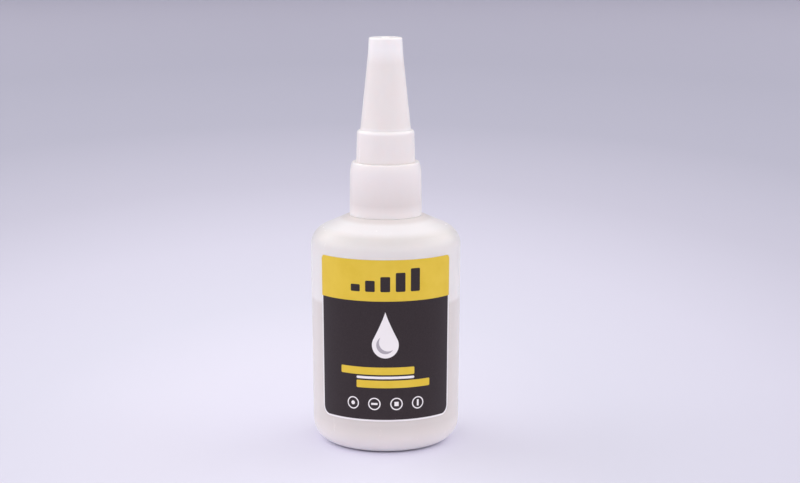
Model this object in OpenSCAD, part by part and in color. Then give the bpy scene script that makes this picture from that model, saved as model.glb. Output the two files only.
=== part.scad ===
// Squeeze bottle for instant adhesive, with a screw-on dropper nozzle and a tall overcap.
// Millimetres. +Z is up, the base stands on z = 0 and the label faces -Y.
// Every piece but the label is a section turned about the bottle's axis.

/* [Bottle] */
// Widest diameter of the body, at the shoulder
body_d = 42; // [38:0.5:48]
// Height of the body, from the base to the land round the neck
body_h = 64.5; // [58:0.25:80]
// Draft of the body wall, which narrows towards the base, in degrees
body_draft = 0.55; // [0:0.05:1.2]
// Thickness of the blown wall
bottle_wall = 1; // [0.7:0.05:1.4]
// Radius of the round edge between body and shoulder
shoulder_r = 6; // [4:0.25:8]
// Slope of the shoulder below the horizontal, in degrees
shoulder_slope = 24; // [16:1:32]
// Radius of the round heel
heel_r = 6.25; // [4:0.25:8]
// Diameter of the dome pressed up into the base
push_up_d = 22; // [16:0.5:24]
// Height of that dome
push_up_h = 1.2; // [0.6:0.1:2.4]
// Level of the adhesive above the base
fill_h = 41.5; // [15:0.5:46]

/* [Neck] */
// Diameter of the neck at the root of its thread
neck_d = 15.9; // [14.5:0.1:17.5]
// Length of the neck above its land
neck_h = 12.5; // [10:0.25:18]
// Wall of the neck
neck_wall = 1.5; // [1.1:0.1:2]
// Height of the neck's thread over its root
neck_thread_h = 0.9; // [0.6:0.05:1.2]
// Thickness of the sealing washer on the rim
seal_t = 0.8; // [0.5:0.1:1.5]

/* [Nozzle] */
// Wall of the skirt round the neck
skirt_wall = 1.15; // [0.9:0.05:1.6]
// Gap under the skirt, above the bottle's land
skirt_gap = 0.1; // [0.05:0.05:1]
// Draft of the skirt, which narrows upwards, in degrees
skirt_draft = 0.6; // [0:0.1:1.5]
// Thickness of the deck across the neck
deck_t = 1.6; // [1.2:0.1:2.4]
// Radius of the skirt's rounded crown
crown_r = 9.5; // [7:0.25:12]
// Height of that crown
crown_h = 3.5; // [2:0.1:4.5]
// Depth of the plug that seals the neck's bore
plug_h = 3; // [2:0.1:5]
// Wall of the plug
plug_wall = 1.1; // [0.8:0.05:1.5]
// Diameter of the boss at the root of the cap's thread
boss_d = 11.6; // [10.8:0.1:12.4]
// Height of the boss
boss_h = 7.6; // [6:0.1:10]
// Wall of the boss
boss_wall = 1.3; // [1:0.05:1.8]
// Diameter of the dropper at its foot
dropper_d = 9.2; // [8.2:0.1:10]
// Height of the dropper above the boss
dropper_h = 22.4; // [16:0.2:30]
// Diameter of the dropper at its tip
tip_d = 2.6; // [2.2:0.1:3.4]
// Wall of the dropper at its foot
dropper_wall = 1.1; // [0.8:0.05:1.5]
// Length of the straight hole in the tip
orifice_h = 3; // [1.5:0.1:5]

/* [Cap] */
// Height of the cap's thread over the boss
cap_thread_h = 0.9; // [0.6:0.05:1.1]
// Wall of the collar at its mouth
collar_wall = 1.36; // [1:0.02:1.8]
// Height of the collar
collar_h = 9; // [8.6:0.1:11]
// Draft of the collar, in degrees
collar_draft = 1.9; // [0:0.1:3]
// Radius of the collar's upper edge
collar_edge_r = 1; // [0.4:0.05:1.2]
// Wall of the cap's cone
cap_wall = 1.1; // [0.8:0.05:1.5]
// Space between the cone and the dropper's foot
cone_foot_gap = 1.35; // [0.9:0.05:1.6]
// Space between the cone and the dropper's tip
cone_top_gap = 2.45; // [1.5:0.05:3]
// Thickness of the closed end
cap_end_t = 4.2; // [3:0.1:6]
// Draft of the closed end, in degrees
cap_end_draft = 3.1; // [1:0.1:5]
// Radius of the edge round the closed end
cap_end_edge_r = 0.3; // [0.2:0.05:1]

/* [Pin] */
// Diameter of the pin that keeps the tip clear
pin_d = 0.8; // [0.6:0.05:1]
// Depth of the pin's seat in the closed end
pin_seat = 2.2; // [1.2:0.1:2.8]
// Reach of the pin into the dropper
pin_reach = 11; // [5:0.5:16]
// Length of the pin's point
pin_point_h = 1.2; // [0.6:0.1:2]

/* [Label] */
// Width of the label along the curve
label_w = 41.3; // [30:0.1:60]
// Margin between the heel's curve and the label
label_foot_margin = 3.8; // [1:0.1:15]
// Margin between the label and the shoulder's curve
label_head_margin = 0.7; // [0.2:0.1:10]
// Thickness of the label
label_t = 0.12; // [0.08:0.01:0.3]
// Radius of the upper corners
label_head_r = 1.3; // [0.5:0.1:4]
// Radius of the lower corners
label_foot_r = 2.8; // [0.5:0.1:4]

/* [Hidden] */
$fn = 128;

// Clearances between pieces, and how far a cut runs past the face that it opens
thread_clear = 0.1;
plug_clear = 0.12;
seal_clear = 0.05;
seal_lip = 0.25;
fill_clear = 0.05;
label_bond = 0.02;
boss_clear = 0.4;
tip_clear = 0.3;
pin_clear = 0.15;
pin_fit = 0.05;
land_margin = 0.5;
overrun = 1;

// Small edges and beads
neck_bead_r = 0.6;
neck_bead_lift = 2.2;
rim_edge_r = 0.4;
skirt_edge = 0.15;
boss_edge = 0.5;
boss_web = 1.2;
tip_edge = 0.3;
collar_mouth_edge = 0.4;

// Neck and closure, from the neck outwards
neck_r = neck_d / 2;
bore_r = neck_r - neck_wall;
skirt_inner_r = neck_r + neck_thread_h + thread_clear;
skirt_r = skirt_inner_r + skirt_wall;
land_r = skirt_r + land_margin;
plug_r = bore_r - plug_clear;

// Heights up the closure
rim_z = body_h + neck_h;
deck_under_z = rim_z + seal_t;
deck_z = deck_under_z + deck_t;
skirt_z = body_h + skirt_gap;
crown_z = deck_z - crown_h;
skirt_head_r = skirt_r - (crown_z - skirt_z) * tan(skirt_draft);
plug_z = deck_under_z - plug_h;
boss_z = deck_z + boss_h;
tip_z = boss_z + dropper_h;
cavity_z = tip_z + tip_clear;
cap_z = cavity_z + cap_end_t;

// Body wall: outward directions of the wall and of the shoulder, and the centres of the two round edges
body_r = body_d / 2;
wall_dir = [cos(body_draft), -sin(body_draft)];
slope_dir = [sin(shoulder_slope), cos(shoulder_slope)];
shoulder_c_r = body_r - shoulder_r;
slope_offset = slope_dir * [land_r, body_h];
shoulder_c = [shoulder_c_r, (slope_offset - shoulder_r - slope_dir.x * shoulder_c_r) / slope_dir.y];
wall_offset = wall_dir * shoulder_c + shoulder_r;
heel_c = [(wall_offset - heel_r - wall_dir.y * heel_r) / wall_dir.x, heel_r];
wall_foot_z = heel_c.y + heel_r * wall_dir.y;
wall_head_z = shoulder_c.y + shoulder_r * wall_dir.y;
function wall_r(z) = (wall_offset - wall_dir.y * z) / wall_dir.x;

// Dome in the base, as part of a sphere
push_up_r = push_up_d / 2;
dome_r = (push_up_r ^ 2 + push_up_h ^ 2) / (2 * push_up_h);

// Radii of the nozzle and the cap
boss_r = boss_d / 2;
boss_inner_r = boss_r - boss_wall;
dropper_r = dropper_d / 2;
tip_r = tip_d / 2;
pin_r = pin_d / 2;
orifice_r = pin_r + pin_clear;
collar_bore_r = boss_r + cap_thread_h + 2 * thread_clear;
collar_r = collar_bore_r + collar_wall;
collar_ceiling_z = boss_z + boss_clear;
cone_foot_r = dropper_r + cone_foot_gap + cap_wall;
cone_top_r = tip_r + cone_top_gap + cap_wall;

// Place of the label on the wall
label_foot_z = wall_foot_z + label_foot_margin;
label_head_z = wall_head_z - label_head_margin;
label_a = label_w / (PI * body_d) * 360;

milky_white = "#EFE9E6";
clear_straw = "#E3D6B4";
charcoal_print = "#3B3537";
foam_white = "#F4F2EE";
steel_grey = "#B9BCC0";

// Section of the body, brought in from its outer face by inset: straight wall and slope, two round edges
module body_section(inset) {
    heel_edge_r = heel_r - inset;
    shoulder_edge_r = shoulder_r - inset;
    polygon([
        [0, inset],
        [heel_c.x, inset],
        heel_c + heel_edge_r * wall_dir,
        shoulder_c + shoulder_edge_r * wall_dir,
        shoulder_c + shoulder_edge_r * slope_dir,
        [land_r - inset * tan(shoulder_slope / 2), body_h - inset],
        [0, body_h - inset]
    ]);
    translate(heel_c) circle(heel_edge_r);
    translate(shoulder_c) circle(shoulder_edge_r);
}

// Section of the dome that is pressed into the base, raised by a wall's thickness
module dome_section(rise) {
    translate([0, push_up_h - dome_r]) circle(dome_r + rise);
}

// Section of a drum that narrows upwards by draft degrees and has a round upper edge
module drum_section(r, z, h, draft, edge_r) {
    side_dir = [cos(draft), sin(draft)];
    edge_z = z + h - edge_r;
    edge_c = [(side_dir * [r, z] - edge_r - side_dir.y * edge_z) / side_dir.x, edge_z];
    polygon([[0, z], [r, z], edge_c + edge_r * side_dir, [edge_c.x, z + h], [0, z + h]]);
    translate(edge_c) circle(edge_r);
}

// Half of a section, on the side that is turned about the axis
module turned() {
    rotate_extrude() intersection() {
        children();
        square([body_d, cap_z + overrun]);
    }
}

// Blow-moulded shell with a domed base, a bead at the foot of its neck and an open bore
module bottle() {
    color(milky_white) turned() difference() {
        union() {
            body_section(0);
            drum_section(neck_r, body_h - bottle_wall, neck_h + bottle_wall, 0, rim_edge_r);
            translate([neck_r, body_h + neck_bead_lift]) circle(neck_bead_r);
        }
        difference() {
            body_section(bottle_wall);
            dome_section(bottle_wall);
        }
        translate([0, body_h - 2 * bottle_wall]) square([bore_r, neck_h + 2 * bottle_wall + overrun]);
        dome_section(0);
    }
}

// Liquid charge, which stands in the shell up to its level
module adhesive() {
    color(clear_straw) turned() difference() {
        intersection() {
            body_section(bottle_wall + fill_clear);
            square([body_r, fill_h]);
        }
        dome_section(bottle_wall + fill_clear);
    }
}

// Piece that takes one sharp corner off the label and leaves a round one
module label_corner(side, head) {
    edge_r = head ? label_head_r : label_foot_r;
    corner_z = head ? label_head_z - edge_r : label_foot_z + edge_r;
    turn = label_a / 2 - asin(edge_r / body_r);
    depth = body_r + label_t + overrun;
    rotate([0, 0, -90 + side * turn]) translate([0, 0, corner_z]) difference() {
        mirror([0, side < 0 ? 1 : 0, 0]) mirror([0, 0, head ? 0 : 1])
            cube([depth, edge_r + overrun, edge_r + overrun]);
        rotate([0, 90, 0]) cylinder(r = edge_r, h = depth + overrun);
    }
}

// Paper label, bent round the front of the body
module front_label() {
    foot_r = wall_r(label_foot_z) + label_bond;
    head_r = wall_r(label_head_z) + label_bond;
    color(charcoal_print) difference() {
        rotate([0, 0, -90 - label_a / 2]) rotate_extrude(angle = label_a) polygon([
            [foot_r, label_foot_z],
            [foot_r + label_t, label_foot_z],
            [head_r + label_t, label_head_z],
            [head_r, label_head_z]
        ]);
        for (side = [-1, 1], head = [false, true]) label_corner(side, head);
    }
}

// Soft washer that the nozzle's deck presses on the rim
module neck_seal() {
    color(foam_white) translate([0, 0, rim_z]) difference() {
        cylinder(r = neck_r + seal_lip, h = seal_t);
        translate([0, 0, -overrun]) cylinder(r = bore_r + seal_clear, h = seal_t + 2 * overrun);
    }
}

// Outside of the nozzle: skirt with its crown, boss and dropper
module nozzle_section() {
    polygon([
        [0, skirt_z],
        [skirt_r - skirt_edge, skirt_z],
        [skirt_r, skirt_z + skirt_edge],
        [skirt_head_r, crown_z],
        [0, crown_z]
    ]);
    intersection() {
        translate([skirt_head_r - crown_r, crown_z]) circle(crown_r);
        translate([0, crown_z]) square([skirt_head_r, crown_h]);
    }
    polygon([
        [0, crown_z],
        [boss_r, crown_z],
        [boss_r, boss_z - boss_edge],
        [boss_r - boss_edge, boss_z],
        [dropper_r, boss_z],
        [tip_r, tip_z - tip_edge],
        [tip_r - tip_edge, tip_z],
        [0, tip_z]
    ]);
}

// Way of the liquid through plug, boss and dropper
module passage_section() {
    plug_inner_r = plug_r - plug_wall;
    polygon([
        [0, plug_z - overrun],
        [plug_inner_r, plug_z - overrun],
        [plug_inner_r, deck_under_z],
        [boss_inner_r, deck_z],
        [boss_inner_r, boss_z - boss_web],
        [dropper_r - dropper_wall, boss_z],
        [orifice_r, tip_z - orifice_h],
        [orifice_r, tip_z + overrun],
        [0, tip_z + overrun]
    ]);
}

// Screw base and dropper in one moulding, open from the neck to the tip
module nozzle() {
    color(milky_white) turned() difference() {
        union() {
            difference() {
                nozzle_section();
                translate([0, skirt_z - overrun]) square([skirt_inner_r, deck_under_z - skirt_z + overrun]);
            }
            translate([0, plug_z]) square([plug_r, plug_h]);
        }
        passage_section();
    }
}

// Steel pin, held in the cap's closed end, with its point down in the dropper
module clog_pin() {
    pin_foot_z = tip_z - pin_reach;
    pin_h = cavity_z + pin_seat - pin_foot_z;
    color(steel_grey) translate([0, 0, pin_foot_z]) {
        cylinder(r1 = 0, r2 = pin_r, h = pin_point_h);
        translate([0, 0, pin_point_h]) cylinder(r = pin_r, h = pin_h - pin_point_h);
    }
}

// Overcap: threaded collar, hollow cone over the dropper and a thick closed end
module cap() {
    color(milky_white) turned() difference() {
        union() {
            drum_section(collar_r, deck_z, collar_h, collar_draft, collar_edge_r);
            polygon([
                [0, deck_z],
                [cone_foot_r, deck_z],
                [cone_foot_r, deck_z + collar_h],
                [cone_top_r, cavity_z],
                [0, cavity_z]
            ]);
            drum_section(cone_top_r, cavity_z, cap_end_t, cap_end_draft, cap_end_edge_r);
        }
        polygon([
            [0, deck_z - overrun],
            [collar_bore_r + collar_mouth_edge + overrun, deck_z - overrun],
            [collar_bore_r, deck_z + collar_mouth_edge],
            [collar_bore_r, collar_ceiling_z],
            [cone_foot_r - cap_wall, collar_ceiling_z],
            [cone_top_r - cap_wall, cavity_z],
            [0, cavity_z]
        ]);
        translate([0, cavity_z - overrun]) square([pin_r + pin_fit, pin_seat + overrun]);
    }
}

bottle();
adhesive();
front_label();
neck_seal();
nozzle();
clog_pin();
cap();
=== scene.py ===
import bmesh
import bpy
import numpy as np
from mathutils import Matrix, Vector


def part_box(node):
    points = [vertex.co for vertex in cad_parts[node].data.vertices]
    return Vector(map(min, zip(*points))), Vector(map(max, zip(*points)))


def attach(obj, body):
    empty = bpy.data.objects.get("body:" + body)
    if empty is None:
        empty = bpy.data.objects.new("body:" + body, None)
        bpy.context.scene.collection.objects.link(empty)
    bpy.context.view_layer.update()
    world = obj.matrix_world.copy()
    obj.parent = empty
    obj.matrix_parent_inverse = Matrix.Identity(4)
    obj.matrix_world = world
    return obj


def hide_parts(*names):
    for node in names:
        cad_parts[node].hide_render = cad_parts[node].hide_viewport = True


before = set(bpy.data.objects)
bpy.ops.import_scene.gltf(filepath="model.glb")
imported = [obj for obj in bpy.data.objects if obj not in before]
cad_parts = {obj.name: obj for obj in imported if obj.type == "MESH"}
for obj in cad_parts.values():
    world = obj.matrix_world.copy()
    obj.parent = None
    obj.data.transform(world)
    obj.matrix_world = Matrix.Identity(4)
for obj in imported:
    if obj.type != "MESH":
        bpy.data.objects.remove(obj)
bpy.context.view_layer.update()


# Camera
# A long lens looks slightly down at the bottle's front, from a little to the right of its axis.
# It stands about 55 cm off.
camera_data = bpy.data.cameras.new("camera")
camera_data.sensor_width = 36.0
camera_data.lens = 90.0
camera = bpy.data.objects.new("camera", camera_data)
camera.location = (0.0040, -0.5533, 0.1552)
camera_tilt = 79.90
camera.rotation_euler = (np.radians(camera_tilt), 0.0, 0.0)
bpy.context.scene.collection.objects.link(camera)
bpy.context.scene.camera = camera


# Studio
# The bottle stands on pale lavender paper that curves up into a wall far off on every side.
# The paper's colour carries a painted pool of light: brightest round the bottle, falling off with
# distance, faster to the sides.
MM = 0.001
MERGE_DISTANCE = 0.0005 * MM


def rounded_section(corners, arc_steps=10):
    """Section line through corners given as (r, z, edge radius), in which arcs that touch both
    sides take the place of all corners but the two ends. An arc's centre lies on the corner's
    bisector, radius / sin(half angle) away. At the share s of its turn stands the centre plus
    both spokes, weighted by sin((1 - s) turn) / sin(turn) and sin(s turn) / sin(turn)."""
    table = np.array(corners, float)
    corner = table[:, :2]
    radius = table[1:-1, 2:]
    here = corner[1:-1]
    back = corner[:-2] - here
    ahead = corner[2:] - here
    back = back / np.linalg.norm(back, axis=1, keepdims=True)
    ahead = ahead / np.linalg.norm(ahead, axis=1, keepdims=True)
    half_angle = np.arccos(np.clip((back * ahead).sum(1, keepdims=True), -1, 1)) / 2
    bisector = (back + ahead) / np.linalg.norm(back + ahead, axis=1, keepdims=True)
    centre = here + bisector * radius / np.sin(half_angle)
    first = here + back * radius / np.tan(half_angle) - centre
    last = here + ahead * radius / np.tan(half_angle) - centre
    turn = np.pi - 2 * half_angle
    share = np.linspace(0, 1, arc_steps + 1)[None]
    first_weight = np.sin((1 - share) * turn) / np.sin(turn)
    last_weight = np.sin(share * turn) / np.sin(turn)
    first_part = first_weight[..., None] * first[:, None]
    last_part = last_weight[..., None] * last[:, None]
    arcs = centre[:, None] + first_part + last_part
    return np.vstack([corner[:1], arcs.reshape(-1, 2), corner[-1:]])


def in_short_steps(section, longest):
    """The same section with its straight runs cut into equal steps, none longer than longest."""
    run = np.diff(section, axis=0)
    parts = np.maximum(1, np.ceil(np.hypot(run[:, 0], run[:, 1]) / longest)).astype(int)
    owner = np.repeat(np.arange(len(parts)), parts)
    count = np.arange(len(owner)) - np.repeat(np.cumsum(parts) - parts, parts)
    share = count / parts[owner]
    return np.vstack([section[owner] + share[:, None] * run[owner], section[-1:]])


def laid_mesh(name, points, wrap_rows=False, wrap_columns=True, closed=True):
    """Object of a grid of points in millimetres: each four neighbours make a face, points that
    fall together, as at a pole, are merged, and the faces of a closed shape turn outwards."""
    rows, columns = points.shape[:2]
    index = np.arange(rows * columns).reshape(rows, columns)
    if wrap_rows:
        index = np.vstack([index, index[:1]])
    if wrap_columns:
        index = np.hstack([index, index[:, :1]])
    faces = np.stack([index[:-1, :-1], index[:-1, 1:], index[1:, 1:], index[1:, :-1]], axis=-1)
    mesh = bpy.data.meshes.new(name)
    mesh.from_pydata((points.reshape(-1, 3) * MM).tolist(), [], faces.reshape(-1, 4).tolist())
    shape = bmesh.new()
    shape.from_mesh(mesh)
    bmesh.ops.remove_doubles(shape, verts=shape.verts, dist=MERGE_DISTANCE)
    if closed:
        bmesh.ops.recalc_face_normals(shape, faces=shape.faces)
    shape.to_mesh(mesh)
    shape.free()
    mesh.shade_smooth()
    piece = bpy.data.objects.new(name, mesh)
    bpy.context.scene.collection.objects.link(piece)
    return piece


ROUND_STEPS = 160
full_turn = np.linspace(0, 2 * np.pi, ROUND_STEPS, endpoint=False)


def turned(name, section, angles=full_turn, proud=0.0, loop=False, closed=True):
    """Surface of a section turned about the bottle's axis: the point (r, z) at the angle a goes
    to ((r + proud) cos a, (r + proud) sin a, z)."""
    radius = section[:, :1] + proud
    height = section[:, 1:]
    across = radius * np.cos(angles)
    along = radius * np.sin(angles)
    points = np.stack(np.broadcast_arrays(across, along, height), axis=-1)
    return laid_mesh(name, points, wrap_rows=loop, closed=closed)


def screen_colour(red, green, blue):
    """Linear colour, with alpha, of a colour given as it looks on a screen, from 0 to 255."""
    linear = ((np.array([red, green, blue]) / 255 + 0.055) / 1.055) ** 2.4
    return (*linear.tolist(), 1.0)


def placed(tree, kind, inputs=None, **settings):
    """A new node of that kind, with its settings made and its named inputs linked or filled."""
    made = tree.nodes.new(kind)
    for name, value in settings.items():
        setattr(made, name, value)
    for name, value in (inputs or {}).items():
        if isinstance(value, bpy.types.NodeSocket):
            tree.links.new(value, made.inputs[name])
        else:
            made.inputs[name].default_value = value
    return made


def result_of(tree, operation, *values):
    """The result socket of a Math node that works on these sockets or numbers."""
    made = tree.nodes.new("ShaderNodeMath")
    made.operation = operation
    for socket, value in zip(made.inputs, values):
        if isinstance(value, bpy.types.NodeSocket):
            tree.links.new(value, socket)
        else:
            socket.default_value = value
    return made.outputs["Value"]


def ramp(tree, value, stops):
    """Colour that follows a value from 0 to 1 through the stops, each a place and a colour."""
    made = placed(tree, "ShaderNodeValToRGB", {"Fac": value})
    elements = made.color_ramp.elements
    while len(elements) < len(stops):
        elements.new(0.5)
    for element, (place, colour) in zip(elements, stops):
        element.position = place
        element.color = colour
    return made.outputs["Color"]


def shaded(name):
    """A new material, its node tree and its Principled shader."""
    material = bpy.data.materials.new(name)
    material.use_nodes = True
    return material, material.node_tree, material.node_tree.nodes["Principled BSDF"]


paper_r = 3000.0
paper_curve_r = 600.0
paper_wall_h = 750.0
paper_corners = [
    (paper_r, paper_wall_h, 0.0),
    (paper_r, 0.0, paper_curve_r),
    (0.0, 0.0, 0.0),
]
paper_line = rounded_section(paper_corners, arc_steps=24)
paper = turned("studio_paper", in_short_steps(paper_line, longest=120.0), closed=False)

paper_material, tree, shader = shaded("studio_paper")
place = placed(tree, "ShaderNodeTexCoord").outputs["Object"]
painted_pool_shift = (0.05, 0.0, 0.0)
painted_pool_stretch = (2.1, 1.0, 1.0)
fall_inputs = {"Vector": place, "Location": painted_pool_shift, "Scale": painted_pool_stretch}
fall_place = placed(tree, "ShaderNodeMapping", fall_inputs).outputs["Vector"]
distance = placed(tree, "ShaderNodeVectorMath", {0: fall_place}, operation="LENGTH")
distance = result_of(tree, "MULTIPLY", distance.outputs["Value"], 1 / (paper_r * MM))
# Painted light: the paper's colour falls from bright round the bottle to dim far off.
painted_pool_stops = [
    (0.012, screen_colour(227, 226, 244)),
    (0.03, screen_colour(224, 223, 240)),
    (0.063, screen_colour(214, 214, 231)),
    (0.105, screen_colour(208, 207, 225)),
    (0.166, screen_colour(191, 190, 208)),
    (0.256, screen_colour(175, 175, 193)),
    (0.41, screen_colour(169, 169, 187)),
    (0.67, screen_colour(172, 171, 189)),
]
tree.links.new(ramp(tree, distance, painted_pool_stops), shader.inputs["Base Color"])
shader.inputs["Roughness"].default_value = 0.9
shader.inputs["Specular IOR Level"].default_value = 0.1
paper.data.materials.append(paper_material)

# The white tent round the table: brightest in a band halfway up, where its lamps stand, dimmer low
# down, dimmest overhead, and dim at the rear, where the paper hangs.
world = bpy.data.worlds.new("studio")
bpy.context.scene.world = world
world.use_nodes = True
tree = world.node_tree
direction = placed(tree, "ShaderNodeTexCoord").outputs["Generated"]
tent_axes = placed(tree, "ShaderNodeSeparateXYZ", {"Vector": direction})
tent_stops = [
    (0.36, (0.550, 0.533, 0.522, 1.0)),
    (0.48, (1.000, 0.970, 0.950, 1.0)),
    (0.64, (0.880, 0.854, 0.836, 1.0)),
    (0.82, (0.220, 0.213, 0.209, 1.0)),
]
tent_colour = ramp(tree, tent_axes.outputs["Z"], tent_stops)
rear_inputs = {
    "Value": tent_axes.outputs["Y"],
    "From Min": 0.60,
    "From Max": 0.90,
    "To Min": 2.16,
    "To Max": 0.62,
}
tent_strength = placed(tree, "ShaderNodeMapRange", rear_inputs, interpolation_type="SMOOTHSTEP")
background = tree.nodes["Background"]
tree.links.new(tent_colour, background.inputs["Color"])
tree.links.new(tent_strength.outputs["Result"], background.inputs["Strength"])


def softbox(name, middle, aim, width, height, power):
    """A rectangular lamp at middle that faces aim, unseen by the camera itself."""
    lamp = bpy.data.lights.new(name, "AREA")
    lamp.shape = "RECTANGLE"
    lamp.size = width
    lamp.size_y = height
    lamp.energy = power
    box = bpy.data.objects.new(name, lamp)
    box.location = middle
    box.rotation_euler = (Vector(aim) - Vector(middle)).to_track_quat("-Z", "Y").to_euler()
    box.visible_camera = False
    bpy.context.scene.collection.objects.link(box)


bottle_middle = (0.0, 0.0, 0.06)
softbox("left_softbox", (-1.85, 0.50, 1.30), bottle_middle, width=2.4, height=1.8, power=10.3)
softbox("right_softbox", (1.85, 0.50, 1.30), bottle_middle, width=2.4, height=1.8, power=8.0)
bpy.context.scene.view_settings.view_transform = "Standard"


# Bottle
# Blow-moulded from milky polyethylene in a two-part mould, so a fine seam runs up both sides.
# The thin wall lets the adhesive's level show, and the base is domed so that it stands on a ring.
def box_in_mm(node):
    """Lowest and highest corner of a piece of the frame, in millimetres."""
    low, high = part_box(node)
    return np.array(low) / MM, np.array(high) / MM


bottle_high = box_in_mm("bottle")[1]
body_r = bottle_high[0]
rim_z = bottle_high[2]
neck_h = 12.5
land_z = rim_z - neck_h
bottle_wall = 1.0
body_draft = np.radians(0.55)
shoulder_r = 6.0
shoulder_slope = np.radians(24.0)
heel_r = 6.25
land_r = 10.6
land_edge_r = 2.0
neck_r = 7.95
neck_root_r = 0.5
bore_r = 6.45
bead_h = 0.6
bead_low_z = land_z + 1.6
bead_high_z = land_z + 2.8
bead_root_r = 0.1
bead_edge_r = 0.45
push_up_r = 11.0
push_up_h = 1.2
dome_end_r = push_up_r - 2.0
stand_edge_r = 2.0
seam_h = 0.05
seam_w = 0.14
seam_end_r = push_up_r + 1.0

wall_out = np.array([np.cos(body_draft), -np.sin(body_draft)])
slope_out = np.array([np.sin(shoulder_slope), np.cos(shoulder_slope)])
slope_reach = slope_out @ (land_r, land_z)
shoulder_c_r = body_r - shoulder_r
shoulder_c_z = (slope_reach - shoulder_r - slope_out[0] * shoulder_c_r) / slope_out[1]
wall_reach = wall_out @ (shoulder_c_r, shoulder_c_z) + shoulder_r
face_out = np.array([[0.0, -1.0], wall_out, slope_out, [0.0, 1.0]])
face_reach = np.array([0.0, wall_reach, slope_reach, land_z])


def body_corners(inset):
    """Corners of the body's section, brought in by inset: heel, shoulder and land. Each is the
    point that satisfies out . p = reach - inset for two neighbouring faces."""
    outs = np.stack([face_out[:-1], face_out[1:]], axis=1)
    reaches = np.stack([face_reach[:-1], face_reach[1:]], axis=1) - inset
    return np.linalg.solve(outs, reaches[..., None])[..., 0]


dome_r = (push_up_r**2 + push_up_h**2) / (2 * push_up_h)


def dome(radius, rise):
    """Points of the sphere that is pressed up into the base: its centre lies dome_r below the top
    of the push-up, and the rise, a wall's thickness, adds to its radius."""
    height = push_up_h - dome_r + np.sqrt((dome_r + rise) ** 2 - radius**2)
    return np.column_stack([radius, height])


dome_radii = np.linspace(0.0, dome_end_r, 9)
outer_dome = dome(dome_radii, 0.0)
inner_dome = dome(dome_radii[::-1], bottle_wall)
heel, shoulder, land = body_corners(0.0)
inner_heel, inner_shoulder, inner_land = body_corners(bottle_wall)
bottle_corners = [
    (*outer_dome[-1], 0.0),
    (push_up_r, 0.0, stand_edge_r),
    (*heel, heel_r),
    (*shoulder, shoulder_r),
    (*land, land_edge_r),
    (neck_r, land_z, neck_root_r),
    (neck_r, bead_low_z, bead_root_r),
    (neck_r + bead_h, bead_low_z, bead_edge_r),
    (neck_r + bead_h, bead_high_z, bead_edge_r),
    (neck_r, bead_high_z, bead_root_r),
    (neck_r, rim_z, 0.4),
    (bore_r, rim_z, 0.3),
    (bore_r, land_z - bottle_wall, 0.4),
    (*inner_land, land_edge_r - bottle_wall),
    (*inner_shoulder, shoulder_r - bottle_wall),
    (*inner_heel, heel_r - bottle_wall),
    (push_up_r, bottle_wall, stand_edge_r - bottle_wall),
    (*inner_dome[0], 0.0),
]
bottle_line = rounded_section(bottle_corners)
bottle_line = np.vstack([outer_dome[:-1], bottle_line, inner_dome[1:]])
bottle_line = in_short_steps(bottle_line, longest=2.0)

# The seam is a ridge of the height seam_h exp(-(x / seam_w)^2) at x across each side, outside only.
seam_steps = np.array([-0.5, -0.3, -0.2, -0.1, 0.0, 0.1, 0.2, 0.3, 0.5]) / body_r
bottle_angles = np.concatenate([full_turn, seam_steps, np.pi + seam_steps])
bottle_angles = np.unique(np.round(bottle_angles % (2 * np.pi), 7))
bottle_row = np.arange(len(bottle_line))[:, None]
on_outside = (bottle_row <= bottle_line[:, 1].argmax()) & (bottle_line[:, :1] > seam_end_r)
from_seam = bottle_line[:, :1] * np.sin(bottle_angles)
seam_proud = seam_h * np.exp(-((from_seam / seam_w) ** 2)) * on_outside
seam_proud = np.minimum(seam_proud, body_r - bottle_line[:, :1])
bottle = turned("bottle", bottle_line, bottle_angles, seam_proud)
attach(bottle, "bottle")
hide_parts("bottle")

# Faint clouding of a moulded plastic, the grain that the mould leaves, and rubbed places.
moulded = bpy.data.node_groups.new("moulded_plastic", "ShaderNodeTree")
sockets_in = {"Place": "Vector", "Colour": "Color", "Clouding": "Float", "Roughness": "Float"}
sockets_out = {"Colour": "Color", "Roughness": "Float", "Height": "Float"}
for name, kind in sockets_in.items():
    moulded.interface.new_socket(name, in_out="INPUT", socket_type=f"NodeSocket{kind}")
for name, kind in sockets_out.items():
    moulded.interface.new_socket(name, in_out="OUTPUT", socket_type=f"NodeSocket{kind}")
given = placed(moulded, "NodeGroupInput").outputs
cloud_inputs = {"Vector": given["Place"], "Scale": 90.0, "Detail": 3.0}
cloud = placed(moulded, "ShaderNodeTexNoise", cloud_inputs).outputs["Fac"]
grain_inputs = {"Vector": given["Place"], "Scale": 1500.0, "Detail": 3.0}
grain = placed(moulded, "ShaderNodeTexNoise", grain_inputs).outputs["Fac"]
stretch_inputs = {"Vector": given["Place"], "Scale": (1.0, 1.0, 0.08)}
stretched = placed(moulded, "ShaderNodeMapping", stretch_inputs).outputs["Vector"]
rub_inputs = {"Vector": stretched, "Scale": 700.0, "Detail": 4.0}
rub = placed(moulded, "ShaderNodeTexNoise", rub_inputs).outputs["Fac"]
noise_middle = 0.5
cloud_swing = result_of(moulded, "SUBTRACT", cloud, noise_middle)
cloud_swing = result_of(moulded, "MULTIPLY", cloud_swing, given["Clouding"])
tint_inputs = {0: given["Colour"], "Scale": result_of(moulded, "ADD", cloud_swing, 1.0)}
tinted = placed(moulded, "ShaderNodeVectorMath", tint_inputs, operation="SCALE")
rub_range = {"Value": rub, "From Min": 0.62, "From Max": 0.8}
rub_mask = placed(moulded, "ShaderNodeMapRange", rub_range).outputs["Result"]
rub_roughness = 0.04
grain_roughness = 0.08
grain_swing = result_of(moulded, "SUBTRACT", grain, noise_middle)
roughness = result_of(moulded, "MULTIPLY_ADD", grain_swing, grain_roughness, given["Roughness"])
roughness = result_of(moulded, "MULTIPLY_ADD", rub_mask, rub_roughness, roughness)
cloud_relief = 1.5
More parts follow.
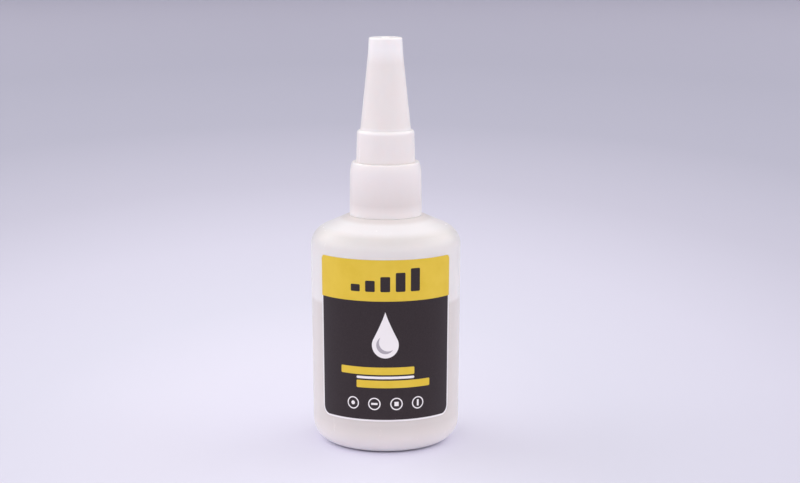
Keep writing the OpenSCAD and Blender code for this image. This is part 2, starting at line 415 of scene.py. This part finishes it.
relief = result_of(moulded, "MULTIPLY_ADD", cloud, cloud_relief, grain)
group_out = placed(moulded, "NodeGroupOutput")
moulded.links.new(tinted.outputs["Vector"], group_out.inputs["Colour"])
moulded.links.new(roughness, group_out.inputs["Roughness"])
moulded.links.new(relief, group_out.inputs["Height"])


def plastic(name, stops):
    """Moulded polyethylene whose colour follows the height: each stop is a height in millimetres
    and a colour. Light goes a little over a millimetre into it."""
    material, tree, shader = shaded(name)
    place = placed(tree, "ShaderNodeTexCoord").outputs["Object"]
    height = placed(tree, "ShaderNodeSeparateXYZ", {"Vector": place}).outputs["Z"]
    low, high = stops[0][0], stops[-1][0]
    height_range = {"Value": height, "From Min": low * MM, "From Max": high * MM}
    share = placed(tree, "ShaderNodeMapRange", height_range).outputs["Result"]
    shares = [((z - low) / (high - low), colour) for z, colour in stops]
    finish_inputs = {
        "Place": place,
        "Colour": ramp(tree, share, shares),
        "Clouding": 0.05,
        "Roughness": 0.25,
    }
    finish = placed(tree, "ShaderNodeGroup", finish_inputs, node_tree=moulded)
    bump_inputs = {"Height": finish.outputs["Height"], "Strength": 0.06, "Distance": 0.00004}
    bump = placed(tree, "ShaderNodeBump", bump_inputs)
    tree.links.new(finish.outputs["Colour"], shader.inputs["Base Color"])
    tree.links.new(finish.outputs["Roughness"], shader.inputs["Roughness"])
    tree.links.new(bump.outputs["Normal"], shader.inputs["Normal"])
    shader.inputs["Specular IOR Level"].default_value = 0.35
    shader.inputs["Subsurface Weight"].default_value = 0.35
    shader.inputs["Subsurface Radius"].default_value = (1.0, 0.75, 0.7)
    shader.inputs["Subsurface Scale"].default_value = 0.0012
    shader.inputs["Sheen Weight"].default_value = 0.35
    shader.inputs["Sheen Roughness"].default_value = 0.5
    return material


fill_z = box_in_mm("adhesive")[1][2]
level_blur = 0.5
# Painted light: the heel is lighter than the wall above it, a painted glow where it faces the
# floor's shade.
painted_light_heel = screen_colour(245, 239, 236)
painted_light_upper_heel = screen_colour(237, 230, 227)
filled_wall = screen_colour(217, 210, 207)
empty_wall = screen_colour(232, 228, 227)
# Painted shade: the wall darkens where the shoulder turns.
painted_shade_turn = screen_colour(223, 219, 218)
# Painted highlight: a whiter band on the shoulder's slope.
painted_highlight_shoulder = screen_colour(234, 231, 234)
# Painted shade: the land round the neck and the neck itself are darker, where the skirt shades
# them.
painted_shade_neck = screen_colour(219, 212, 212)
bottle_stops = [
    (0.0, painted_light_heel),
    (0.5 * heel_r, painted_light_upper_heel),
    (1.3 * heel_r, filled_wall),
    (fill_z - level_blur, filled_wall),
    (fill_z + level_blur, empty_wall),
    (land_z - 9.0, empty_wall),
    (land_z - 4.0, painted_shade_turn),
    (land_z - 2.8, painted_highlight_shoulder),
    (land_z - 1.2, painted_highlight_shoulder),
    (land_z - 0.6, painted_shade_neck),
    (rim_z, painted_shade_neck),
]
bottle_material = plastic("milky_bottle", bottle_stops)
bottle.data.materials.append(bottle_material)


# Neck thread
# One right-handed ridge, blown in one with the neck from the same plastic.
# It stands out by less than a millimetre, and its ends fade into the wall.
def thread_ridge(name, root_r, crest_r, foot_z, lead, turns, width, start=0.0, steps=150):
    """A ridge carried along a helix: at the share s of its length it stands at the angle
    start + 2 pi turns s and the height foot_z + lead turns s. Its section is a trapezoid with its
    root sunk in the wall, scaled down to a point inside the wall at both ends."""
    sunk = 0.12
    fades_per_turn = 5
    out_shares = np.array([-sunk, 0.0, 0.82, 0.96, 1.0, 1.0, 0.96, 0.82, 0.0, -sunk])
    up_shares = np.array([-0.5, -0.5, -0.27, -0.2, -0.12, 0.12, 0.2, 0.27, 0.5, 0.5])
    share = np.linspace(0, 1, steps)[:, None]
    fade = np.clip(np.minimum(share, 1 - share) * turns * fades_per_turn, 0, 1)
    fade = np.sqrt(fade * (2 - fade))
    angle = start + 2 * np.pi * turns * share
    radius = root_r + (crest_r - root_r) * (out_shares * fade - sunk * (1 - fade))
    height = foot_z + lead * turns * share + width * up_shares * fade
    points = np.stack([radius * np.cos(angle), radius * np.sin(angle), height], axis=-1)
    return laid_mesh(name, points)


thread_h = 0.9
neck_lead = 3.175
neck_thread_w = 1.5
neck_thread_z = land_z + 4.7
neck_thread = thread_ridge(
    "neck_thread",
    neck_r,
    neck_r + thread_h,
    neck_thread_z,
    neck_lead,
    turns=1.9,
    width=neck_thread_w,
)
neck_thread.data.materials.append(bottle_material)
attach(neck_thread, "bottle")


# Adhesive
# The liquid charge: clear instant adhesive, faintly straw-coloured, filled in through the neck.
# It stands in the bottle up to its level and climbs a little at the wall.
fill_gap = 0.05
meniscus_h = 0.5
meniscus_w = 1.6
meniscus_r = 3.0


def wall_radius(z, inset=0.0):
    """Radius of the body's drafted wall at a height, brought in by inset."""
    return (wall_reach - inset - wall_out[1] * z) / wall_out[0]


fill_inset = bottle_wall + fill_gap
fill_heel = body_corners(fill_inset)[0]
fill_dome = dome(dome_radii, fill_inset)
fill_edge_r = wall_radius(fill_z, fill_inset)
fill_corners = [
    (*fill_dome[-1], 0.0),
    (push_up_r, fill_inset, stand_edge_r - bottle_wall),
    (*fill_heel, heel_r - fill_inset),
    (fill_edge_r, fill_z, 0.02),
    (fill_edge_r - meniscus_w, fill_z - meniscus_h, meniscus_r),
    (0.0, fill_z - meniscus_h, 0.0),
]
fill_line = np.vstack([fill_dome[:-1], rounded_section(fill_corners)])
fill_line = in_short_steps(fill_line, longest=2.0)
adhesive = turned("adhesive", fill_line)
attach(adhesive, "bottle")
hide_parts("adhesive")

adhesive_material, tree, shader = shaded("clear_adhesive")
place = placed(tree, "ShaderNodeTexCoord").outputs["Object"]
swirl_inputs = {"Vector": place, "Scale": 60.0, "Detail": 2.0, "Distortion": 1.5}
swirl = placed(tree, "ShaderNodeTexNoise", swirl_inputs)
swirl_stops = [(0.3, screen_colour(250, 246, 232)), (0.7, screen_colour(246, 238, 214))]
tree.links.new(ramp(tree, swirl.outputs["Fac"], swirl_stops), shader.inputs["Base Color"])
shader.inputs["Transmission Weight"].default_value = 1.0
shader.inputs["Roughness"].default_value = 0.02
shader.inputs["IOR"].default_value = 1.45
adhesive.data.materials.append(adhesive_material)


# Front label
# Coated paper, printed in yellow and charcoal, cut with round corners and stuck on the body.
# The charcoal stops short of the edge and leaves a thin line of white paper.
label_low, label_high = box_in_mm("front_label")
label_w = 41.3
label_foot_z = label_low[2]
label_head_z = label_high[2]
label_h = label_head_z - label_foot_z
label_t = 0.12
label_bond = 0.02
label_head_r = 1.3
label_foot_r = 2.8

# The paper is a grid of rows: a point x across lies at the angle x / body_r on the drafted wall,
# and the rows near foot and head are shortened along the round corners.
corner_turn = np.linspace(0, np.pi / 2, 13)
foot_rise = label_foot_r * (1 - np.cos(corner_turn))
head_drop = label_head_r * (1 - np.cos(corner_turn[::-1]))
between = np.linspace(label_foot_z + label_foot_r, label_head_z - label_head_r, 40)[1:-1]
label_rows = np.concatenate([label_foot_z + foot_rise, between, label_head_z - head_drop])
foot_half_w = label_w / 2 - label_foot_r * (1 - np.sin(corner_turn))
head_half_w = label_w / 2 - label_head_r * (1 - np.sin(corner_turn[::-1]))
label_half_w = np.concatenate([foot_half_w, np.full(len(between), label_w / 2), head_half_w])
label_across = np.linspace(-1, 1, 121) * label_half_w[:, None]
label_angle = label_across / body_r
label_radius = wall_radius(label_rows)[:, None] + label_bond + label_t
label_points = np.stack(
    [
        label_radius * np.sin(label_angle),
        -label_radius * np.cos(label_angle),
        np.broadcast_to(label_rows[:, None], label_angle.shape),
    ],
    axis=-1,
)
label = laid_mesh("front_label", label_points, wrap_columns=False, closed=False)
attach(label, "bottle")
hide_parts("front_label")

# The print's own map: how far across and up the label each point lies, from 0 to 1.
corner_vertex = np.empty(len(label.data.loops), dtype=np.int32)
label.data.loops.foreach_get("vertex_index", corner_vertex)
vertex_place = np.empty(len(label.data.vertices) * 3, dtype=np.float32)
label.data.vertices.foreach_get("co", vertex_place)
vertex_place = vertex_place.reshape(-1, 3) / MM
print_across = np.arctan2(vertex_place[:, 0], -vertex_place[:, 1]) * body_r / label_w + 0.5
print_up = (vertex_place[:, 2] - label_foot_z) / label_h
print_place = np.column_stack([print_across, print_up])[corner_vertex]
print_layer = label.data.uv_layers.new(name="print")
print_layer.data.foreach_set("uv", print_place.ravel().astype(np.float32))

paper_thickness = label.modifiers.new("paper", "SOLIDIFY")
paper_thickness.thickness = label_t * MM
paper_thickness.offset = -1.0
paper_thickness.material_offset_rim = 1
paper_thickness.material_offset = 1

# One printed shape: a rectangle with round corners, as a mask. Its edge is where the distance
# to the shrunken rectangle equals the corner's radius. Lengths are millimetres on the label.
ink = bpy.data.node_groups.new("ink_shape", "ShaderNodeTree")
shape_sizes = ("Centre Across", "Centre Up", "Half Width", "Half Height", "Corner")
for name in ("Across", "Up", *shape_sizes):
    ink.interface.new_socket(name, in_out="INPUT", socket_type="NodeSocketFloat")
ink.interface.new_socket("Mask", in_out="OUTPUT", socket_type="NodeSocketFloat")
given = placed(ink, "NodeGroupInput").outputs
ink_blur = 0.03


def beyond(position, centre, half):
    """How far a place lies beyond the shrunken rectangle along one axis, below zero inside it."""
    offset = result_of(ink, "SUBTRACT", given[position], given[centre])
    shrunken_half = result_of(ink, "SUBTRACT", given[half], given["Corner"])
    return result_of(ink, "SUBTRACT", result_of(ink, "ABSOLUTE", offset), shrunken_half)


def soft_mask(tree, from_edge):
    """Mask that is 1 where from_edge is below zero and 0 where it is above, with a soft step."""
    edge_range = {
        "Value": from_edge,
        "From Min": -ink_blur,
        "From Max": ink_blur,
        "To Min": 1.0,
        "To Max": 0.0,
    }
    step = placed(tree, "ShaderNodeMapRange", edge_range, interpolation_type="SMOOTHSTEP")
    return step.outputs["Result"]


beyond_side = beyond("Across", "Centre Across", "Half Width")
beyond_end = beyond("Up", "Centre Up", "Half Height")
outside_side = result_of(ink, "MAXIMUM", beyond_side, 0.0)
outside_end = result_of(ink, "MAXIMUM", beyond_end, 0.0)
outside_square = result_of(ink, "MULTIPLY", outside_end, outside_end)
outside_square = result_of(ink, "MULTIPLY_ADD", outside_side, outside_side, outside_square)
outside = result_of(ink, "SQRT", outside_square)
inside = result_of(ink, "MINIMUM", result_of(ink, "MAXIMUM", beyond_side, beyond_end), 0.0)
from_edge = result_of(ink, "SUBTRACT", result_of(ink, "ADD", outside, inside), given["Corner"])
group_out = placed(ink, "NodeGroupOutput")
ink.links.new(soft_mask(ink, from_edge), group_out.inputs["Mask"])

label_material, tree, shader = shaded("printed_label")
print_map = placed(tree, "ShaderNodeUVMap", uv_map="print").outputs["UV"]
print_axes = placed(tree, "ShaderNodeSeparateXYZ", {"Vector": print_map})
from_middle = result_of(tree, "SUBTRACT", print_axes.outputs["X"], 0.5)
across = result_of(tree, "MULTIPLY", from_middle, label_w)
up = result_of(tree, "MULTIPLY", print_axes.outputs["Y"], label_h)


def inked(*shapes):
    """Mask of all these shapes together, each given by its centre, half sizes and corner."""
    masks = []
    for sizes in shapes:
        shape = placed(tree, "ShaderNodeGroup", {"Across": across, "Up": up}, node_tree=ink)
        for name, size in zip(shape_sizes, sizes):
            shape.inputs[name].default_value = size
        masks.append(shape.outputs["Mask"])
    joined = masks[0]
    for mask in masks[1:]:
        joined = result_of(tree, "MAXIMUM", joined, mask)
    return joined


def disc(centre_across, centre_up, radius):
    """Sizes of a printed disc, which is a square with corners as round as it is wide."""
    return centre_across, centre_up, radius, radius, radius


def printed_over(colour, ink_colour, mask):
    """The colour so far, with an ink printed over it where the mask is 1. A Mix node has its two
    colours at the inputs 6 and 7 and the mixed colour at the output 2."""
    mix_inputs = {"Factor": mask, 6: colour, 7: ink_colour}
    return placed(tree, "ShaderNodeMix", mix_inputs, data_type="RGBA").outputs[2]


band_foot = 33.8
border_w = 0.5
panel_overlap = 2.0
panel_half_w = label_w / 2 - border_w
panel_half_h = (band_foot + panel_overlap - border_w) / 2
panel_corner_r = label_foot_r - border_w
panel = inked((0.0, border_w + panel_half_h, panel_half_w, panel_half_h, panel_corner_r))
band_bleed_w = 1.0
band_bleed_h = 0.02
band_half_w = label_w / 2 + band_bleed_w
band_half_h = (label_h - band_foot) / 2
band = inked((0.0, band_foot + band_half_h, band_half_w, band_half_h + band_bleed_h, 0.0))
bar_foot = band_foot + 2.6
bar_half_w = 1.35
bar_corner_r = 0.35
bar_places = [-8.4, -4.2, 0.0, 4.2, 8.4]
bar_half_heights = [1.0, 1.55, 2.1, 2.65, 3.2]
scale_bars = inked(
    *[
        (spot, bar_foot + half_h, bar_half_w, half_h, bar_corner_r)
        for spot, half_h in zip(bar_places, bar_half_heights)
    ]
)
plate_half_w = 10.6
plate_half_h = 1.05
plate_corner_r = 0.3
plate_shift = 2.4
plate_gap = 0.45
joint_up = 12.4
joint_half_w = 8.2
joint_half_h = 0.35
plate_lift = joint_half_h + plate_gap + plate_half_h
plates = inked(
    (-plate_shift, joint_up + plate_lift, plate_half_w, plate_half_h, plate_corner_r),
    (plate_shift, joint_up - plate_lift, plate_half_w, plate_half_h, plate_corner_r),
)
glue_line = inked((0.0, joint_up, joint_half_w, joint_half_h, joint_half_h))
ring_up = 5.0
ring_r = 1.75
ring_hollow_r = 1.43
ring_places = [-9.3, -3.1, 3.1, 9.3]
rings = inked(*[disc(spot, ring_up, ring_r) for spot in ring_places])
hollows = inked(*[disc(spot, ring_up, ring_hollow_r) for spot in ring_places])
dot_r = 0.55
dash_half_l = 0.9
dash_half_w = 0.28
block_half_w = 0.6
sign_corner_r = 0.1
signs = inked(
    disc(ring_places[0], ring_up, dot_r),
    (ring_places[1], ring_up, dash_half_l, dash_half_w, sign_corner_r),
    (ring_places[2], ring_up, block_half_w, block_half_w, sign_corner_r),
    (ring_places[3], ring_up, dash_half_w, dash_half_l, sign_corner_r),
)
ring_lines = result_of(tree, "SUBTRACT", rings, hollows)
ring_marks = result_of(tree, "MAXIMUM", ring_lines, signs)

# The drop over the joint: a disc, and above it two sides that run together to a point.
drop_r = 3.7
drop_up = 21.6
drop_h = 9.4
drop_hollow = 1.18
drop_disc = inked(disc(0.0, drop_up, drop_r))
drop_join = drop_r**2 / drop_h
drop_join_half_w = drop_r * np.sqrt(1 - (drop_r / drop_h) ** 2)
above_centre = result_of(tree, "SUBTRACT", up, drop_up)
point_share = result_of(tree, "SUBTRACT", 1.0, result_of(tree, "DIVIDE", above_centre, drop_h))
point_share = result_of(tree, "MAXIMUM", point_share, 0.0)
point_share = result_of(tree, "DIVIDE", point_share, 1 - drop_join / drop_h)
drop_half_w = result_of(tree, "POWER", point_share, drop_hollow)
drop_half_w = result_of(tree, "MULTIPLY_ADD", drop_half_w, drop_join_half_w + ink_blur, -ink_blur)
from_drop = result_of(tree, "SUBTRACT", result_of(tree, "ABSOLUTE", across), drop_half_w)
above_join = result_of(tree, "GREATER_THAN", above_centre, drop_join)
drop_sides = result_of(tree, "MULTIPLY", soft_mask(tree, from_drop), above_join)
drop = result_of(tree, "MAXIMUM", drop_disc, drop_sides)
gleam_r = 2.5
gleam_shift = 0.75
gleam = inked(disc(0.0, drop_up, gleam_r))
gleam_cut = inked(disc(gleam_shift, drop_up + gleam_shift, gleam_r))
gleam = result_of(tree, "MAXIMUM", result_of(tree, "SUBTRACT", gleam, gleam_cut), 0.0)

# Paper fibres and the slight unevenness of a printed ink.
place = placed(tree, "ShaderNodeTexCoord").outputs["Object"]
fibre_inputs = {"Vector": place, "Scale": 2600.0, "Detail": 4.0}
fibres = placed(tree, "ShaderNodeTexNoise", fibre_inputs).outputs["Fac"]
blotch_inputs = {"Vector": place, "Scale": 220.0, "Detail": 3.0}
blotch = placed(tree, "ShaderNodeTexNoise", blotch_inputs).outputs["Fac"]
bare_paper = screen_colour(244, 240, 241)
gleam_grey = screen_colour(176, 170, 178)
charcoal_stops = [(0.3, screen_colour(46, 38, 41)), (0.7, screen_colour(53, 44, 47))]
charcoal = ramp(tree, fibres, charcoal_stops)
yellow_stops = [(0.3, screen_colour(226, 193, 62)), (0.7, screen_colour(232, 200, 72))]
yellow = ramp(tree, blotch, yellow_stops)
coating_stops = [(0.3, screen_colour(240, 236, 238)), (0.7, bare_paper)]
colour = ramp(tree, fibres, coating_stops)
colour = printed_over(colour, charcoal, panel)
colour = printed_over(colour, yellow, plates)
white_marks = result_of(tree, "MAXIMUM", result_of(tree, "MAXIMUM", drop, glue_line), ring_marks)
colour = printed_over(colour, bare_paper, white_marks)
colour = printed_over(colour, gleam_grey, gleam)
colour = printed_over(colour, yellow, band)
colour = printed_over(colour, charcoal, scale_bars)
tree.links.new(colour, shader.inputs["Base Color"])
ink_roughness = 0.36
ink_roughness_swing = 0.12
label_roughness = result_of(tree, "MULTIPLY_ADD", blotch, ink_roughness_swing, ink_roughness)
tree.links.new(label_roughness, shader.inputs["Roughness"])
blotch_relief = 2.0
label_relief = result_of(tree, "MULTIPLY_ADD", blotch, blotch_relief, fibres)
label_bump_inputs = {"Height": label_relief, "Strength": 0.3, "Distance": 0.00002}
label_bump = placed(tree, "ShaderNodeBump", label_bump_inputs)
tree.links.new(label_bump.outputs["Normal"], shader.inputs["Normal"])
shader.inputs["Specular IOR Level"].default_value = 0.25
label.data.materials.append(label_material)

edge_material, tree, shader = shaded("cut_paper")
place = placed(tree, "ShaderNodeTexCoord").outputs["Object"]
edge_inputs = {"Vector": place, "Scale": 4000.0, "Detail": 4.0}
edge_fibres = placed(tree, "ShaderNodeTexNoise", edge_inputs).outputs["Fac"]
edge_stops = [(0.3, screen_colour(226, 221, 222)), (0.7, screen_colour(243, 239, 240))]
tree.links.new(ramp(tree, edge_fibres, edge_stops), shader.inputs["Base Color"])
shader.inputs["Roughness"].default_value = 0.85
label.data.materials.append(edge_material)


# Neck seal
# A soft washer of closed-cell foam, punched from sheet.
# It lies on the bottle's rim, and the nozzle's deck presses it tight.
seal_low, seal_high = box_in_mm("neck_seal")
seal_r = seal_high[0]
seal_bore_r = bore_r + 0.05
seal_edge_r = 0.12
seal_gap = 0.02
seal_top_z = seal_high[2] - seal_gap
seal_middle_z = (seal_low[2] + seal_top_z) / 2
seal_corners = [
    (seal_bore_r, seal_middle_z, 0.0),
    (seal_bore_r, seal_low[2], seal_edge_r),
    (seal_r, seal_low[2], seal_edge_r),
    (seal_r, seal_top_z, seal_edge_r),
    (seal_bore_r, seal_top_z, seal_edge_r),
    (seal_bore_r, seal_middle_z, 0.0),
]
seal_line = rounded_section(seal_corners, arc_steps=6)[:-1]
seal = turned("neck_seal", seal_line, loop=True)
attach(seal, "neck_seal")
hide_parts("neck_seal")

seal_material, tree, shader = shaded("seal_foam")
place = placed(tree, "ShaderNodeTexCoord").outputs["Object"]
cell_inputs = {"Vector": place, "Scale": 4500.0}
cells = placed(tree, "ShaderNodeTexVoronoi", cell_inputs).outputs["Distance"]
cell_stops = [(0.0, screen_colour(228, 224, 218)), (0.45, screen_colour(247, 245, 240))]
tree.links.new(ramp(tree, cells, cell_stops), shader.inputs["Base Color"])
cell_bump_inputs = {"Height": cells, "Strength": 0.5, "Distance": 0.00005}
cell_bump = placed(tree, "ShaderNodeBump", cell_bump_inputs)
tree.links.new(cell_bump.outputs["Normal"], shader.inputs["Normal"])
shader.inputs["Roughness"].default_value = 0.8
seal.data.materials.append(seal_material)


# Nozzle
# One injection moulding of natural polyethylene: a skirt that screws on the neck, a plug that seals
# its bore, a threaded boss for the cap and a long hollow dropper.
nozzle_high = box_in_mm("nozzle")[1]
skirt_r = nozzle_high[0]
skirt_rest = 0.02
skirt_z = land_z + skirt_rest
tip_z = nozzle_high[2]
deck_under_z = seal_high[2]
deck_z = deck_under_z + 1.6
skirt_inner_r = 8.95
skirt_draft = np.radians(0.6)
crown_r = 9.5
crown_h = 3.5
crown_z = deck_z - crown_h
skirt_head_r = skirt_r - (crown_z - skirt_z) * np.tan(skirt_draft)
plug_r = 6.33
plug_inner_r = plug_r - 1.1
plug_z = deck_under_z - 3.0
boss_r = 5.8
boss_inner_r = 4.5
boss_z = deck_z + 7.6
boss_web = 1.2
dropper_r = 4.6
dropper_inner_r = dropper_r - 1.1
tip_r = 1.3
orifice_r = 0.55
orifice_z = tip_z - 3.0

# The crown is an arc of crown_r from the skirt's head up to the deck.
crown_turn = np.linspace(0, np.arcsin(crown_h / crown_r), 12)
crown_c_r = skirt_head_r - crown_r
crown_across = crown_c_r + crown_r * np.cos(crown_turn)
crown_up = crown_z + crown_r * np.sin(crown_turn)
crown = np.column_stack([crown_across, crown_up])
skirt_middle_z = (skirt_z + crown_z) / 2
nozzle_low_corners = [
    (skirt_inner_r, skirt_middle_z, 0.0),
    (skirt_inner_r, skirt_z, 0.1),
    (skirt_r, skirt_z, 0.04),
    (*crown[0], 0.0),
]
nozzle_high_corners = [
    (*crown[-2], 0.0),
    (*crown[-1], 0.3),
    (boss_r, deck_z, 0.4),
    (boss_r, boss_z, 0.5),
    (dropper_r, boss_z, 0.35),
    (tip_r, tip_z, 0.28),
    (orifice_r, tip_z, 0.1),
    (orifice_r, orifice_z, 1.0),
    (dropper_inner_r, boss_z, 1.0),
    (boss_inner_r, boss_z - boss_web, 0.4),
    (boss_inner_r, deck_z, 0.4),
    (plug_inner_r, deck_under_z, 0.4),
    (plug_inner_r, plug_z, 0.2),
    (plug_r, plug_z, 0.3),
    (plug_r, deck_under_z, 0.3),
    (skirt_inner_r, deck_under_z, 0.3),
    (skirt_inner_r, skirt_middle_z, 0.0),
]
nozzle_low_line = rounded_section(nozzle_low_corners, arc_steps=8)
nozzle_high_line = rounded_section(nozzle_high_corners, arc_steps=8)[:-1]
nozzle_line = np.vstack([nozzle_low_line, crown[1:-2], nozzle_high_line])
nozzle = turned("nozzle", in_short_steps(nozzle_line, longest=1.5), loop=True)
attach(nozzle, "nozzle")
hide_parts("nozzle")
# Painted light: the skirt's foot is whiter, a painted glow against the shade of the gap under it.
painted_light_foot = screen_colour(249, 242, 242)
skirt_wall = screen_colour(229, 221, 220)
# Painted highlight: the crown is whiter where it turns up towards the light above.
painted_highlight_crown = screen_colour(240, 233, 233)
boss_wall = screen_colour(242, 236, 236)
nozzle_stops = [
    (skirt_z, painted_light_foot),
    (skirt_z + 3.5, skirt_wall),
    (crown_z, painted_highlight_crown),
    (deck_z, boss_wall),
    (tip_z, boss_wall),
]
nozzle_material = plastic("nozzle_plastic", nozzle_stops)
nozzle.data.materials.append(nozzle_material)

# The thread inside the skirt, half a lead over the neck's, so that it lies between its turns.
skirt_thread_z = neck_thread_z + neck_lead / 2
skirt_thread = thread_ridge(
    "skirt_thread",
    skirt_inner_r,
    skirt_inner_r - thread_h,
    skirt_thread_z,
    neck_lead,
    turns=1.6,
    width=neck_thread_w,
)
skirt_thread.data.materials.append(nozzle_material)
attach(skirt_thread, "nozzle")

# The cap's thread on the boss, with two starts.
boss_lead = 6.0
boss_starts = 2
boss_thread_w = 1.3
boss_thread_z = deck_z + 1.5
boss_thread_steps = 90
for count in range(boss_starts):
    ridge = thread_ridge(
        f"boss_thread_{count + 1}",
        boss_r,
        boss_r + thread_h,
        boss_thread_z,
        boss_lead,
        turns=0.75,
        width=boss_thread_w,
        start=2 * np.pi * count / boss_starts,
        steps=boss_thread_steps,
    )
    ridge.data.materials.append(nozzle_material)
    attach(ridge, "nozzle")


# Clog pin
# Drawn steel wire with a turned point, pressed into the cap's closed end, so that it hangs in the
# hole of the dropper's tip and keeps it clear.
pin_low, pin_high = box_in_mm("clog_pin")
pin_r = pin_high[0]
pin_point_h = 1.2
pin_corners = [
    (0.0, pin_low[2], 0.0),
    (pin_r, pin_low[2] + pin_point_h, 0.6),
    (pin_r, pin_high[2], 0.08),
    (0.0, pin_high[2], 0.0),
]
pin_line = rounded_section(pin_corners, arc_steps=6)
pin_line = in_short_steps(pin_line, longest=0.8)
pin = turned("clog_pin", pin_line, full_turn[::4])
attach(pin, "clog_pin")
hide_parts("clog_pin")

pin_material, tree, shader = shaded("drawn_steel")
place = placed(tree, "ShaderNodeTexCoord").outputs["Object"]
drawn_inputs = {"Vector": place, "Scale": (1.0, 1.0, 0.02)}
drawn = placed(tree, "ShaderNodeMapping", drawn_inputs).outputs["Vector"]
scratch_inputs = {"Vector": drawn, "Scale": 9000.0, "Detail": 3.0}
scratches = placed(tree, "ShaderNodeTexNoise", scratch_inputs).outputs["Fac"]
steel_stops = [(0.3, screen_colour(176, 178, 182)), (0.7, screen_colour(214, 216, 220))]
tree.links.new(ramp(tree, scratches, steel_stops), shader.inputs["Base Color"])
steel_roughness = 0.18
steel_roughness_swing = 0.25
pin_roughness = result_of(tree, "MULTIPLY_ADD", scratches, steel_roughness_swing, steel_roughness)
tree.links.new(pin_roughness, shader.inputs["Roughness"])
shader.inputs["Metallic"].default_value = 1.0
pin.data.materials.append(pin_material)


# Cap
# A tall hollow cone over the dropper, moulded of natural polyethylene in one with a wider collar
# that screws on the boss. Its closed end is a thick plug, whiter than the thin wall, with the
# mark of the gate on top.
cap_high = box_in_mm("cap")[1]
collar_r = cap_high[0]
cap_z = cap_high[2]
collar_bore_r = 6.9
collar_h = 9.0
collar_draft = np.radians(1.9)
collar_top_z = deck_z + collar_h
collar_top_r = collar_r - collar_h * np.tan(collar_draft)
collar_edge_r = 1.0
collar_ceiling_z = boss_z + 0.4
mouth_edge = 0.4
cap_wall = 1.1
cone_foot_r = 7.05
cone_top_r = 4.85
cavity_z = tip_z + 0.3
cap_end_draft = np.radians(3.1)
cap_end_r = cone_top_r - (cap_z - cavity_z) * np.tan(cap_end_draft)
pin_seat_r = pin_r + 0.05
pin_seat_z = pin_high[2]
gate_r = 1.25
gate_depth = 0.15
gate_nub_r = 0.3
cap_corners = [
    (0.0, pin_seat_z, 0.0),
    (pin_seat_r, pin_seat_z, 0.05),
    (pin_seat_r, cavity_z, 0.1),
    (cone_top_r - cap_wall, cavity_z, 0.5),
    (cone_foot_r - cap_wall, collar_ceiling_z, 0.4),
    (collar_bore_r, collar_ceiling_z, 0.3),
    (collar_bore_r, deck_z + mouth_edge, 0.2),
    (collar_bore_r + mouth_edge, deck_z, 0.2),
    (collar_r, deck_z, 0.15),
    (collar_top_r, collar_top_z, collar_edge_r),
    (cone_foot_r, collar_top_z, 0.05),
    (cone_top_r, cavity_z, 8.0),
    (cap_end_r, cap_z, 0.4),
    (gate_r, cap_z, 0.1),
    (gate_r - gate_depth, cap_z - gate_depth, 0.1),
    (gate_nub_r, cap_z - gate_depth, 0.05),
    (gate_nub_r, cap_z - gate_depth / 3, 0.04),
    (0.0, cap_z - gate_depth / 3, 0.0),
]
cap_line = rounded_section(cap_corners, arc_steps=8)
cap = turned("cap", in_short_steps(cap_line, longest=1.5))
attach(cap, "cap")
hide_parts("cap")
collar_wall = screen_colour(241, 234, 233)
# Painted highlight: a whiter ring along the collar's top edge.
painted_highlight_collar_edge = screen_colour(247, 242, 243)
thin_cap = screen_colour(241, 234, 232)
thick_cap = screen_colour(253, 248, 249)
cap_stops = [
    (deck_z, collar_wall),
    (collar_top_z - 1.2, collar_wall),
    (collar_top_z - 0.6, painted_highlight_collar_edge),
    (collar_top_z, painted_highlight_collar_edge),
    (collar_top_z + 1.0, thin_cap),
    (cavity_z - 3.0, thin_cap),
    (cavity_z + 1.0, thick_cap),
    (cap_z, thick_cap),
]
cap_material = plastic("cap_plastic", cap_stops)
cap.data.materials.append(cap_material)

# The two starts inside the collar, which lie between those of the boss.
cap_crest_r = 6.05
cap_thread_z = boss_thread_z + boss_lead / boss_starts / 2
for count in range(boss_starts):
    ridge = thread_ridge(
        f"cap_thread_{count + 1}",
        collar_bore_r,
        cap_crest_r,
        cap_thread_z,
        boss_lead,
        turns=0.6,
        width=boss_thread_w,
        start=2 * np.pi * count / boss_starts,
        steps=boss_thread_steps,
    )
    ridge.data.materials.append(cap_material)
    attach(ridge, "cap")
